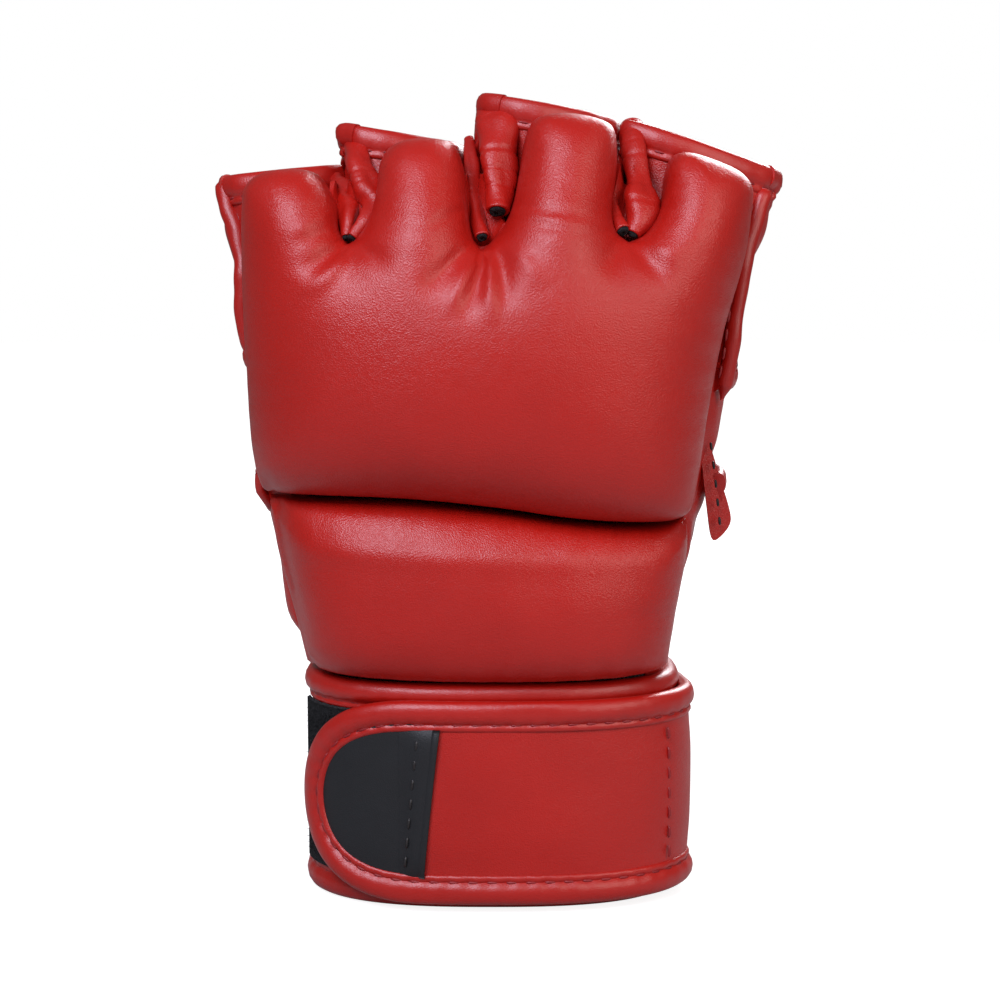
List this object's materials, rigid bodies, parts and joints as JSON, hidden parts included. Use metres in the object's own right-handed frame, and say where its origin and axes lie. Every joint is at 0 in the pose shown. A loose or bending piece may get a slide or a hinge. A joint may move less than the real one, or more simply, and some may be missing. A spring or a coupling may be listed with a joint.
{
  "type": "mma glove",
  "caption": "Open-palm grappling glove for a left hand, with padded knuckles and fingers, open fingertips and a hook-and-loop wrist strap.",
  "frame": {"origin": "centre of the wrist opening, at the foot of the cuff", "axes": "+Z from the wrist to the fingertips, +Y out of the palm, -Y out of the back of the hand, +X to the thumb and index finger side"},
  "size_m": [0.1375, 0.0727, 0.1946],
  "materials": {
    "red_leather": "grained synthetic leather, semi-gloss",
    "red_binding": "folded leather tape, semi-gloss, sewn in red thread",
    "black_leather": "smooth synthetic leather, semi-gloss",
    "lining_cloth": "ribbed knit, matte",
    "loop_tape": "fuzzy loop tape, matte",
    "hook_tape": "stiff hook tape, matte",
    "foam": "closed-cell foam, matte"
  },
  "bodies": {
    "hand": {"cuff_band": "red_leather", "cuff_lining": "lining_cloth", "cuff_foot_binding": "red_binding", "cuff_top_binding": "red_binding", "loop_patch": "loop_tape", "back_lining": "lining_cloth", "back_foam": "foam", "back_cover": "red_leather", "knuckle_foam": "foam", "knuckle_cover": "red_leather", "pinky_gusset": "red_leather", "thumb_gusset": "red_leather", "palm_band": "red_leather", "palm_band_top_binding": "red_binding", "palm_band_low_binding": "red_binding", "wrap_panel": "red_leather", "wrap_binding": "red_binding", "thumb_panel": "red_leather"},
    "strap": {"strap": "red_leather", "strap_top_binding": "red_binding", "strap_foot_binding": "red_binding", "strap_hook_patch": "hook_tape"},
    "strap_tab": {"strap_tab": "black_leather", "strap_tab_binding": "red_binding", "strap_tab_hook_patch": "hook_tape"},
    "flap": {"flap": "red_leather", "flap_binding": "red_binding", "palm_pad_foam": "foam", "palm_pad_cover": "red_leather"},
    "pinky": {"pinky_sleeve": "red_leather", "pinky_lining": "lining_cloth", "pinky_rim_binding": "red_binding", "pinky_foam": "foam", "pinky_cover": "red_leather"},
    "ring": {"ring_sleeve": "red_leather", "ring_lining": "lining_cloth", "ring_rim_binding": "red_binding", "ring_foam": "foam", "ring_cover": "red_leather"},
    "middle": {"middle_sleeve": "red_leather", "middle_lining": "lining_cloth", "middle_rim_binding": "red_binding", "middle_foam": "foam", "middle_cover": "red_leather"},
    "index": {"index_sleeve": "red_leather", "index_lining": "lining_cloth", "index_rim_binding": "red_binding", "index_foam": "foam", "index_cover": "red_leather"}
  },
  "joints": [
    {"name": "strap_open", "type": "hinge", "parent": "hand", "child": "strap", "pos_m": [0.0496, -0.007, 0.027], "axis": [0, 0, 1], "range_deg": [0, 120]},
    {"name": "strap_tab_lift", "type": "hinge", "parent": "strap", "child": "strap_tab", "pos_m": [-0.0172, -0.0321, 0.027], "axis": [0, 0, 1], "range_deg": [0, 60], "stiffness_Nm_per_rad": 0.004},
    {"name": "flap_lift", "type": "hinge", "parent": "hand", "child": "flap", "pos_m": [0.0225, 0.02, 0.085], "axis": [-0.8575, 0.1009, -0.5045], "range_deg": [-6, 40], "stiffness_Nm_per_rad": 0.01},
    {"name": "pinky_flex", "type": "hinge", "parent": "hand", "child": "pinky", "pos_m": [-0.046, 0.008, 0.158], "axis": [-1, 0, 0], "range_deg": [0, 30], "stiffness_Nm_per_rad": 0.02},
    {"name": "ring_flex", "type": "hinge", "parent": "hand", "child": "ring", "pos_m": [-0.0175, 0.008, 0.158], "axis": [-1, 0, 0], "range_deg": [0, 30], "stiffness_Nm_per_rad": 0.02},
    {"name": "middle_flex", "type": "hinge", "parent": "hand", "child": "middle", "pos_m": [0.0165, 0.008, 0.158], "axis": [-1, 0, 0], "range_deg": [0, 30], "stiffness_Nm_per_rad": 0.02},
    {"name": "index_flex", "type": "hinge", "parent": "hand", "child": "index", "pos_m": [0.0485, 0.008, 0.158], "axis": [-1, 0, 0], "range_deg": [0, 30], "stiffness_Nm_per_rad": 0.02}
  ]
}
